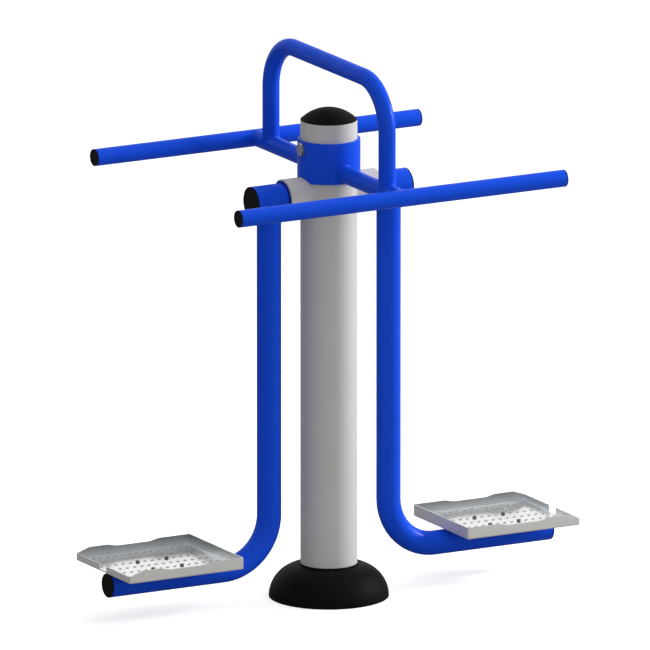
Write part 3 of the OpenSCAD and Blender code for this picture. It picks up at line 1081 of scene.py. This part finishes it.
@dataclass
class Rails:
    """The arms, handrails and hoop: one size of tube, welded together and coated blue."""

    collar: Collar
    wall: float = 2.6 * MM
    hoop_bend: float = 120 * MM
    rail: Extent = box_of("front_handrail")
    plug: Extent = box_of("front_right_plug")
    hoop: Extent = box_of("top_hoop")

    @property
    def radius(self) -> float:
        """Outer radius of the tubes."""
        return self.rail.size.z / 2

    @property
    def level(self) -> Vector:
        """The point on the column's axis at the height of the arms and the handrails."""
        return Z * self.rail.centre.z

    @property
    def reach(self) -> float:
        """Distance from the column's axis to a handrail's axis."""
        return abs(self.rail.centre.y)

    def build(self) -> None:
        """Makes every rail, plug and weld."""
        for end in End:
            self.build_arm(end)
            self.build_handrail(end)
        self.build_hoop()

    def build_arm(self, end: End) -> None:
        """An arm from the collar to a handrail, with a weld at both ends.

        Args:
            end: the arm's end of the trainer.
        """
        away = Y * end.value
        collar = RoundFace(ORIGIN, Z, self.collar.radius)
        rail = RoundFace(self.level + away * self.reach, X, self.radius)
        pipe = Pipe(self.level + away * self.collar.radius, away, self.radius)
        pipe.run(self.reach - self.collar.radius - self.radius)
        pipe.cope(pipe.first, away, collar).cope(pipe.last, -away, rail)
        node = f"{end.word}_arm"
        show(f"{node}_tube", walled(pipe.bm, self.wall), BLUE_COAT, node, weighted=False)
        ends = ((away, collar), (-away, rail))
        welds = [FilletWeld(RoundFace(self.level, way, self.radius), base).mesh() for way, base in ends]
        show(f"{node}_welds", joined(welds), BLUE_COAT, weighted=False)

    def build_handrail(self, end: End) -> None:
        """A straight handrail with softly broken ends, and the plugs in them.

        Args:
            end: the handrail's end of the trainer.
        """
        middle = self.level + Y * self.reach * end.value
        bm = ring(self.radius - self.wall, self.radius, self.rail.low.x, self.rail.high.x, 72)
        node = f"{end.word}_handrail"
        show(f"{node}_tube", moved(soften(bm, 0.5), along_x(middle)), BLUE_COAT, node)
        for side in Side:
            bm = Plug(self.radius, self.wall, self.plug).mesh(middle + X * self.rail.high.x)
            node = f"{end.word}_{side.word}_plug"
            show(f"{node}_disc", mirrored(bm, side), BLACK_PLASTIC, node)

    def build_hoop(self) -> None:
        """The hoop over the column: one bent tube that stands on both arms."""
        foot, top = self.hoop.high.y - self.radius, self.hoop.high.z - self.radius
        low = self.level.z + self.radius
        arm = RoundFace(self.level, Y, self.radius)
        pipe = Pipe(Vector((0, -foot, low)), Z.copy(), self.radius)
        pipe.run(top - self.hoop_bend - low).bend(Y, self.hoop_bend).run(2 * (foot - self.hoop_bend))
        pipe.bend(-Z, self.hoop_bend).run(pipe.place.z - low)
        pipe.cope(pipe.first, Z, arm).cope(pipe.last, Z, arm)
        show("hoop_tube", walled(pipe.bm, self.wall), BLUE_COAT, "top_hoop", weighted=False)
        uprights = [RoundFace(self.level + Y * y, Z, self.radius) for y in (-foot, foot)]
        welds = [FilletWeld(upright, arm).mesh() for upright in uprights]
        show("hoop_welds", joined(welds), BLUE_COAT, weighted=False)


# The two pendulums

# The numbers of a pan's further finishes, after the sheet's own
TREAD_FACES, PUNCHED_FACES, RIM_SHADE_FACES = 1, 2, 3


@dataclass
class Footplate:
    """A folded sheet pan with raised drain holes, on a welded bracket, held by four socket bolts."""

    side: Side
    sheet: float = 3 * MM
    fold: float = 4 * MM
    low_rim: float = 18 * MM
    ramp: float = 36 * MM
    dip_length: float = 115 * MM
    dip_depth: float = 5.5 * MM
    dip_slope: float = 34 * MM
    dip_steps: int = 8
    notch: float = 35 * MM
    hole_radius: float = 4 * MM
    hole_sides: int = 14
    pitch: float = 20 * MM
    row: float = 40 * MM
    margin: float = 12 * MM
    lip_width: float = 0.9 * MM
    lip_height: float = 0.8 * MM
    lip_sunk: float = 0.05 * MM
    bolt_span: float = 80 * MM
    bolt_radius: float = 3 * MM
    bolt_gap: float = 0.5 * MM
    head_radius: float = 5.25 * MM
    socket_flats: float = 4 * MM
    nut_flats: float = 10 * MM
    rib_thickness: float = 5 * MM
    bracket_plate: float = 4 * MM
    bracket_corner_mm: float = 8.0
    leg_gap: float = 0.3 * MM
    past: float = 20 * MM
    pan: Extent = box_of("right_footplate")
    bolts: Extent = box_of("right_foot_bolts")
    nuts: Extent = box_of("right_foot_nuts")
    bracket: Extent = box_of("right_bracket")
    leg_plug: Extent = box_of("right_leg_plug")

    @property
    def middle(self) -> Vector:
        """The middle of the pan's underside."""
        return Vector((self.pan.centre.x, 0, self.pan.low.z))

    @property
    def floor(self) -> float:
        """Height of the pan's floor."""
        return self.pan.low.z + self.sheet

    @property
    def leg_radius(self) -> float:
        """Outer radius of the leg under the pan."""
        return self.leg_plug.size.z / 2

    def rim_height(self, x: float) -> float:
        """Height of a long rim above the underside.

        Args:
            x: distance from the pan's middle.

        Returns:
            The height, which dips in the middle and ramps down at the outer end.
        """
        rim, ramp_start = self.pan.size.z, self.pan.size.x / 2 - self.ramp
        if x > ramp_start:
            return rim + (self.low_rim - rim) * min((x - ramp_start) / self.ramp, 1)
        into = (self.dip_length / 2 + self.dip_slope / 2 - abs(x)) / self.dip_slope
        return rim - self.dip_depth * (1 - math.cos(math.pi * min(max(into, 0), 1))) / 2

    def rim_stations(self) -> list[float]:
        """Places along a long rim where its height changes.

        Returns:
            Distances from the pan's middle.
        """
        steps = [i / self.dip_steps - 0.5 for i in range(self.dip_steps + 1)]
        slopes = [self.dip_length / 2 + self.dip_slope * s for s in steps]
        return [-x for x in slopes] + slopes + [self.pan.size.x / 2 - self.ramp]

    def bolt_places(self) -> list[Vector]:
        """The four bolt centres, on the pan's floor."""
        half = (-self.bolt_span / 2, self.bolt_span / 2)
        return [Vector((self.middle.x + x, y, self.floor)) for x in half for y in half]

    def hole_places(self) -> list[Vector]:
        """The drain holes: staggered rows that leave out the bolts.

        Returns:
            The holes' centres, on the pan's floor.
        """
        columns = int((self.pan.size.x / 2 - self.margin) / self.pitch * 2)
        rows = int((self.pan.size.y / 2 - self.margin) / self.row)
        keep = self.head_radius + self.hole_radius
        places = []
        for j in range(-rows, rows + 1):
            for i in range(-columns, columns + 1):
                place = Vector((self.middle.x + i * self.pitch / 2, j * self.row, self.floor))
                clear = all((place - bolt).length > keep for bolt in self.bolt_places())
                if (i + j) % 2 and clear:
                    places.append(place)
        return places

    def build(self) -> None:
        """Makes the pan, its bracket and its fasteners."""
        self.build_pan()
        self.build_bolts()
        self.build_bracket()

    def folded_shell(self) -> BMesh:
        """The pan as a folded sheet: rounded folds, shaped rims and the drain notch.

        Returns:
            Its mesh, without holes.
        """
        bm = block(self.pan.low, self.pan.high)
        lid = [f for f in bm.faces if f.normal.z > FACING]
        bmesh.ops.delete(bm, geom=lid, context="FACES_ONLY")
        soften(bm, self.fold / MM, 5)
        self.cut_rims(bm)
        self.cut_notch(bm)
        above = self.floor + MM
        return soften(walled(bm, self.sheet), 0.5, 2, 60, lambda e: min(v.co.z for v in e.verts) > above)

    def cut_rims(self, bm: BMesh) -> None:
        """Divides the long rims at their stations and sets the height of every rim.

        Args:
            bm: the pan's outer surface.
        """
        for x in self.rim_stations():
            walls = [f for f in bm.faces if abs(f.normal.y) > FACING]
            geometry = {g for f in walls for g in (*f.verts, *f.edges, f)}
            bmesh.ops.bisect_plane(
                bm, geom=list(geometry), dist=TINY, plane_co=self.middle + X * x, plane_no=X,
            )
        inner = self.pan.low.x + self.fold
        for vert in bm.verts:
            if vert.co.z > self.pan.high.z - TINY and vert.co.x > inner:
                vert.co.z = self.pan.low.z + self.rim_height(vert.co.x - self.middle.x)

    def cut_notch(self, bm: BMesh) -> None:
        """Opens the outer rim in the middle, down to the floor.

        Args:
            bm: the pan's outer surface.
        """
        outer, half = self.pan.high.x - self.fold - TINY, self.notch / 2
        for y in (-half, half):
            everything = bm.verts[:] + bm.edges[:] + bm.faces[:]
            bmesh.ops.bisect_plane(bm, geom=everything, dist=TINY, plane_co=Y * y, plane_no=Y)
        middles = {f: f.calc_center_median() for f in bm.faces}
        gone = [f for f, middle in middles.items() if middle.x > outer and abs(middle.y) < half]
        bmesh.ops.delete(bm, geom=gone, context="FACES")

    def lip(self, place: Vector) -> BMesh:
        """The low rounded lip that the punch leaves round a drain hole.

        Args:
            place: the hole's centre.

        Returns:
            The lip's mesh.
        """
        inner, w, h = self.hole_radius - self.lip_sunk, self.lip_width, self.lip_height
        outer = self.hole_radius + w
        profile = [(inner, -h), (outer, -h), (outer, 0), (outer - w / 2, h), (inner, 0)]
        return moved(lathe(profile, steps=self.hole_sides), Matrix.Translation(place))

    def mark_finishes(self, bm: BMesh) -> None:
        """Sets which faces are polished tread, a hole's punched wall or a rim's inside, which carries
        painted shade.

        Args:
            bm: the pan with its holes.
        """
        inside = self.pan.size / 2 - Vector((1, 1, 0)) * self.fold
        for face in bm.faces:
            offset = face.calc_center_median() - self.middle
            if offset.z > self.sheet + TINY:
                if offset.xy.dot(face.normal.xy) < -self.pan.size.y / 4:
                    face.material_index = RIM_SHADE_FACES
            elif abs(offset.x) < inside.x and abs(offset.y) < inside.y:
                if face.normal.z > FACING:
                    face.material_index = TREAD_FACES
                elif abs(face.normal.z) < 1 - FACING:
                    face.material_index = PUNCHED_FACES

    def bolt_drills(self) -> list[BMesh]:
        """Rods in the places of the bolt holes, past the pan and the bracket plate."""
        deep, radius = Z * self.past, self.bolt_radius + self.bolt_gap
        return [rod(place - deep, place + deep, radius, 24) for place in self.bolt_places()]

    def build_pan(self) -> None:
        """The pan with its holes and their lips."""
        deep = Z * self.sheet * 2
        drills = [rod(p - deep, p + deep, self.hole_radius, self.hole_sides) for p in self.hole_places()]
        pan = combined(self.folded_shell(), joined(drills + self.bolt_drills()))
        pan.normal_update()
        self.mark_finishes(pan)
        lips = joined(self.lip(place) for place in self.hole_places())
        for face in lips.faces:
            face.material_index = PUNCHED_FACES
        finishes = (TREAD, PUNCHED, RIM_PAINTED_SHADE)
        show("footplate_pan", joined([pan, lips]), SHEET, "footplate", self.side, others=finishes)

    def socket_bolt(self) -> BMesh:
        """A socket head bolt, its seat at z = 0.

        Returns:
            The bolt's mesh.
        """
        foot, height = self.bolts.low.z - self.floor, self.bolts.high.z - self.floor
        shank, head = self.bolt_radius, self.head_radius
        profile = [(0, foot), (shank, foot), (shank, 0), (head, 0), (head, height), (0, height)]
        blank = soften(lathe(profile, closed=False, steps=48), 0.7, 3)
        socket = rod(Z * height / 2, Z * height * 2, self.socket_flats / math.sqrt(3), 6)
        return combined(blank, socket)

    def nut(self) -> BMesh:
        """A nut along Z from z = 0."""
        bore = rod(-Z * self.past, Z * self.past, self.bolt_radius, 32)
        return combined(Hexagon(self.nut_flats, self.nuts.size.z).mesh(), bore)

    def build_bolts(self) -> None:
        """The four bolts and their nuts."""
        places = self.bolt_places()
        bolts = [moved(self.socket_bolt(), Matrix.Translation(place)) for place in places]
        show("foot_bolts_socket", joined(bolts), BLACK_OXIDE, "foot_bolts", self.side)
        down = Matrix.Rotation(math.pi, 4, "X")
        seats = [Vector((*place.xy, self.nuts.high.z)) for place in places]
        nuts = [moved(self.nut(), Matrix.Translation(seat) @ down) for seat in seats]
        show("foot_nuts_hexagon", joined(nuts), BLACK_OXIDE, "foot_nuts", self.side)

    def rib(self, x: float) -> BMesh:
        """One pair of bracket ribs, before the leg is cut out of it.

        Args:
            x: distance from the pan's middle.

        Returns:
            The ribs' mesh, in one piece.
        """
        top, foot = self.bracket.high.z - self.bracket_plate, self.bracket.low.z
        half, t = self.bracket.size.y / 2, self.rib_thickness
        bm = bmesh.new()
        outline = [(half, top), (half, top - t), (self.leg_radius + t, foot)]
        points = [(-y, z) for y, z in outline] + [(y, z) for y, z in reversed(outline)]
        face = bm.faces.new([bm.verts.new((self.middle.x + x - t / 2, y, z)) for y, z in points])
        made = bmesh.ops.extrude_face_region(bm, geom=[face])["geom"]
        bmesh.ops.translate(bm, verts=verts_among(made), vec=X * t)
        return outwards(bm)

    def build_bracket(self) -> None:
        """The bracket plate under the pan with its ribs, fitted to the leg."""
        low, high = self.bracket.low, self.bracket.high
        plate = block(Vector((low.x, low.y, high.z - self.bracket_plate)), high)
        upright = lambda e: abs((e.verts[0].co - e.verts[1].co).normalized().z) > FACING
        soften(soften(plate, self.bracket_corner_mm, 5, wanted=upright), 0.6)
        plate = combined(plate, joined(self.bolt_drills()))
        ends = [Vector((x, 0, self.leg_plug.centre.z)) for x in (low.x - self.past, high.x + self.past)]
        leg = rod(*ends, self.leg_radius + self.leg_gap, 96)
        reach = self.bracket.size.x / 2 - self.rib_thickness
        ribs = soften(combined(joined([self.rib(-reach), self.rib(reach)]), leg), 0.5, 2, 50)
        show("bracket_plate", joined([plate, ribs]), BLUE_COAT, "bracket", self.side)


@dataclass
class Pendulum:
    """A hub on its bearings with the bent leg that hangs from it."""

    side: Side
    leg_wall: float = 3 * MM
    leg_bend: float = 128 * MM
    bore: float = 31.02 * MM
    shoulder: float = 28 * MM
    lip_gap: float = 0.17 * MM
    cap_wall: float = 3 * MM
    cap_dish: float = 0.8 * MM
    cap_rim: float = 5 * MM
    hub: Extent = box_of("right_hub")
    flange: Extent = box_of("right_hub_flange")
    cap: Extent = box_of("right_hub_cap")
    leg: Extent = box_of("right_leg")
    plug: Extent = box_of("right_leg_plug")
    ring_a: Extent = box_of("right_outer_ring_a")
    ring_b: Extent = box_of("right_outer_ring_b")

    @property
    def axle(self) -> Vector:
        """The point of the swing axle over the column's middle."""
        return Z * self.hub.centre.z

    @property
    def hub_radius(self) -> float:
        """Outer radius of the hub."""
        return self.hub.size.y / 2

    @property
    def leg_radius(self) -> float:
        """Outer radius of the leg tube."""
        return self.plug.size.z / 2

    def build(self) -> None:
        """Makes the hub, the leg and their welds."""
        self.build_hub()
        self.build_leg()

    def build_hub(self) -> None:
        """The hub tube, its flange next to the housing, and its cap."""
        turn = along_x(self.axle)
        low, high, outer = self.hub.low.x, self.hub.high.x, self.hub_radius
        bore, shoulder, lip = self.bore, self.shoulder, self.bore - self.lip_gap
        seat_a, seat_b = self.ring_a.high.x, self.ring_b.low.x
        profile = [
            (outer, low), (outer, high), (bore, high), (bore, seat_b), (shoulder, seat_b),
            (shoulder, seat_a), (bore, seat_a), (bore, low),
        ]
        outside = lambda e: e.verts[0].co.xy.length > outer - TINY
        hub = soften(lathe(profile), 0.7, 3, wanted=outside)
        show("hub_tube", moved(hub, turn), BLUE_COAT, "hub", self.side)
        rim, back, front = self.flange.size.y / 2, self.flange.low.x, self.flange.high.x
        profile = [(shoulder, back), (rim, back), (rim, low), (lip, low), (lip, front), (shoulder, front)]
        flange = soften(lathe(profile), 0.6, 3)
        # The flange's darker blue is painted shade in the gap next to the housing
        show("hub_flange_disc", moved(flange, turn), FLANGE_SHADED_COAT, "hub_flange", self.side)
        face, foot = self.cap.high.x, self.cap.low.x
        back, floor, edge = face - self.cap_wall, face - self.cap_dish, outer - self.cap_rim
        profile = [
            (0, back), (shoulder, back), (shoulder, foot), (lip, foot), (lip, high), (outer, high),
            (outer, face), (edge, face), (edge - self.cap_dish, floor), (0, floor),
        ]
        cap = soften(lathe(profile, closed=False), 1.1, 4)
        show("hub_cap_disc", moved(cap, turn), BLACK_PLASTIC, "hub_cap", self.side)

    def build_leg(self) -> None:
        """The bent leg tube, welded under the hub, with its plug."""
        x, bottom = self.leg.low.x + self.leg_radius, self.leg.low.z + self.leg_radius
        hub = RoundFace(self.axle, X, self.hub_radius)
        over = self.axle + X * x
        pipe = Pipe(over - Z * self.hub_radius, -Z, self.leg_radius, 80)
        pipe.run(pipe.place.z - bottom - self.leg_bend).bend(X, self.leg_bend, 36)
        pipe.run(self.leg.high.x - pipe.place.x).cope(pipe.first, -Z, hub)
        show("leg_tube", walled(pipe.bm, self.leg_wall), BLUE_COAT, "leg", self.side, weighted=False)
        weld = FilletWeld(RoundFace(over, -Z, self.leg_radius), hub).mesh()
        show("leg_weld", weld, BLUE_COAT, side=self.side, weighted=False)
        plug = Plug(self.leg_radius, self.leg_wall, self.plug)
        end = Vector((self.leg.high.x, 0, bottom))
        show("leg_plug_disc", plug.mesh(end), BLACK_PLASTIC, "leg_plug", self.side)


# What stays as the frame has it


@dataclass
class HiddenParts:
    """The pieces that keep their own meshes: the base plate and what is inside the hubs and the column."""

    in_post: dict[str, Finish] = field(default_factory=lambda: {
        "base_plate": GALVANISED, "base_gussets": GALVANISED, "axle": TURNED, "locking_nut": ZINC,
    })
    in_hub: dict[str, Finish] = field(default_factory=lambda: {
        "end_disc": TURNED, "sleeve": TURNED, "axle_washer": ZINC, "axle_nut": ZINC,
        **{f"{kind}_{place}": GROUND for kind in ("inner_ring", "outer_ring", "balls") for place in "ab"},
    })

    def build(self) -> None:
        """Gives each of the pieces its finish."""
        sided = {f"{side.word}_{name}": finish for side in Side for name, finish in self.in_hub.items()}
        for name, finish in {**self.in_post, **sided}.items():
            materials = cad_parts[name].data.materials
            materials.clear()
            materials.append(finish.material())
            log.info("%s: %s", name, finish.name)


# Floor, light and camera

WHITE = (1, 1, 1, 1)


@dataclass(frozen=True)
class Lamp:
    """A round soft lamp. Metal doesn't mirror the top one, so the footplates stay grey from above."""

    name: str
    place: Vector
    size: float
    power: float
    in_metal: bool = True

    def aim(self, target: Vector) -> None:
        """Hangs the lamp in its place.

        Args:
            target: the point that it faces.
        """
        data = bpy.data.lights.new(self.name, "AREA")
        data.shape, data.size, data.energy = "DISK", self.size, self.power
        lamp = placed(self.name, data)
        lamp.location = self.place
        lamp.rotation_euler = (target - self.place).to_track_quat("-Z", "Y").to_euler()
        lamp.visible_glossy = self.in_metal


@dataclass
class Studio:
    """A pale floor, soft lamps and a long lens at the photograph's angle."""

    azimuth: float = -28.6
    elevation: float = 13.58
    picture: int = 650
    pixels_per_metre: float = 408.0
    foot_pixel: tuple[float, float] = (328.8, 595.13)
    lens: float = 1700.0
    sensor: float = 36.0
    floor_size: float = 60.0
    floor_drop: float = 0.5 * MM
    floor_colour: str = "#9C9C9C"
    floor_pale: str = "#E9E9E9"
    floor_glow: float = 0.58
    floor_fade: tuple[float, float] = (3.0, 9.0)
    world_fade: tuple[float, float] = (0.1, 0.5)
    world_light: float = 0.5
    lamp_target: Vector = field(default_factory=lambda: Vector((0, 0, 0.7)))
    # A key lamp to the right, a soft lamp overhead and a weak fill from the front left
    lamps: tuple[Lamp, ...] = (
        Lamp("key_lamp", Vector((4.6, -1.0, 2.3)), 1.6, 250.0),
        Lamp("top_lamp", Vector((1.4, 0.8, 4.6)), 5.0, 66.0, in_metal=False),
        Lamp("fill_lamp", Vector((-0.4, -5.2, 1.8)), 3.0, 42.0),
    )

    def build(self) -> None:
        """Makes the floor, the world, the lamps and the camera."""
        self.build_floor()
        self.build_world()
        for lamp in self.lamps:
            lamp.aim(self.lamp_target)
        self.build_camera()

    def build_floor(self) -> None:
        """The floor, which keeps the object's shadow and shows white to the camera."""
        bm = bmesh.new()
        bmesh.ops.create_grid(bm, x_segments=1, y_segments=1, size=self.floor_size / 2)
        floor = placed("studio_floor", data_of("studio_floor", bm))
        floor.location.z = -self.floor_drop
        made = bpy.data.materials.new("studio_floor_paper")
        made.use_nodes = True
        tree = made.node_tree
        tree.nodes.clear()
        place = add_node(tree, "TexCoord").outputs["Object"]
        paper = add_node(tree, "BsdfDiffuse", {"Color": linear(self.floor_colour)})
        pale = add_node(tree, "BsdfDiffuse", {"Color": linear(self.floor_pale)})
        glow = add_node(tree, "Emission", {"Color": WHITE, "Strength": self.floor_glow})
        both = add_node(tree, "AddShader", links={0: pale.outputs[0], 1: glow.outputs[0]})
        self.back_with_white(tree, "OutputMaterial", place, self.floor_fade, paper, both)
        floor.data.materials.append(made)

    def build_world(self) -> None:
        """A world that shows white to the rear and gives a dimmer, even light."""
        world = bpy.data.worlds.new("studio_world")
        bpy.context.scene.world = world
        world.use_nodes = True
        tree = world.node_tree
        tree.nodes.clear()
        towards = add_node(tree, "TexCoord").outputs["Generated"]
        light = add_node(tree, "Background", {"Color": WHITE, "Strength": self.world_light})
        white = add_node(tree, "Background", {"Color": WHITE, "Strength": 1.0})
        self.back_with_white(tree, "OutputWorld", towards, self.world_fade, light, white)

    @staticmethod
    def back_with_white(
        tree: NodeTree, output: str, place: NodeSocket, fade: tuple[float, float], real: Node, shown: Node
    ) -> None:
        """Shows the white backdrop to the camera everywhere, and in shine and glass towards the rear.

        Args:
            tree: the node tree.
            output: the type of its output node.
            place: a vector whose Y says how far to the rear a ray goes.
            fade: the Y at which the backdrop begins to show, and the Y from which it shows fully.
            real: what every other ray meets.
            shown: the backdrop.
        """
        ray = add_node(tree, "LightPath").outputs
        rear = add_node(tree, "SeparateXYZ", links={0: place}).outputs["Y"]
        span = {"From Min": fade[0], "From Max": fade[1]}
        far = add_node(tree, "MapRange", span, {"Value": rear}).outputs["Result"]
        both = {0: ray["Is Glossy Ray"], 1: ray["Is Transmission Ray"]}
        shine = add_node(tree, "Math", links=both, operation="MAXIMUM").outputs[0]
        rearward = add_node(tree, "Math", links={0: shine, 1: far}, operation="MULTIPLY").outputs[0]
        both = {0: rearward, 1: ray["Is Camera Ray"]}
        seen = add_node(tree, "Math", links=both, operation="MAXIMUM").outputs[0]
        mix = add_node(tree, "MixShader", links={0: seen, 1: real.outputs[0], 2: shown.outputs[0]})
        add_node(tree, output, links={"Surface": mix.outputs[0]})

    def build_camera(self) -> None:
        """The camera: the photograph is an even-scale view, so the lens is very long and far away."""
        a, e = math.radians(self.azimuth), math.radians(self.elevation)
        back = Vector((math.sin(a) * math.cos(e), -math.cos(a) * math.cos(e), math.sin(e)))
        right = Vector((math.cos(a), math.sin(a), 0))
        centre = self.picture / 2
        across = (centre - self.foot_pixel[0]) / self.pixels_per_metre
        rise = (self.foot_pixel[1] - centre) / self.pixels_per_metre
        distance = self.picture / self.pixels_per_metre * self.lens / self.sensor
        data = bpy.data.cameras.new("camera")
        data.lens, data.sensor_width = self.lens, self.sensor
        data.clip_start, data.clip_end = 1.0, distance * 2
        camera = placed("camera", data)
        camera.location = right * across + back.cross(right) * rise + back * distance
        camera.rotation_euler = back.to_track_quat("Z", "Y").to_euler()
        bpy.context.scene.camera = camera
        bpy.context.scene.view_settings.view_transform = "Standard"


def main() -> None:
    """Builds every piece round the frame, then the studio."""
    logging.basicConfig(level=logging.INFO, format="%(name)s %(message)s")
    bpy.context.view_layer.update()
    column = Column()
    collar = Collar(column)
    for part in (column, collar, Rails(collar)):
        part.build()
    for side in Side:
        Pendulum(side).build()
        Footplate(side).build()
    HiddenParts().build()
    Studio().build()


if __name__ == "__main__":
    main()
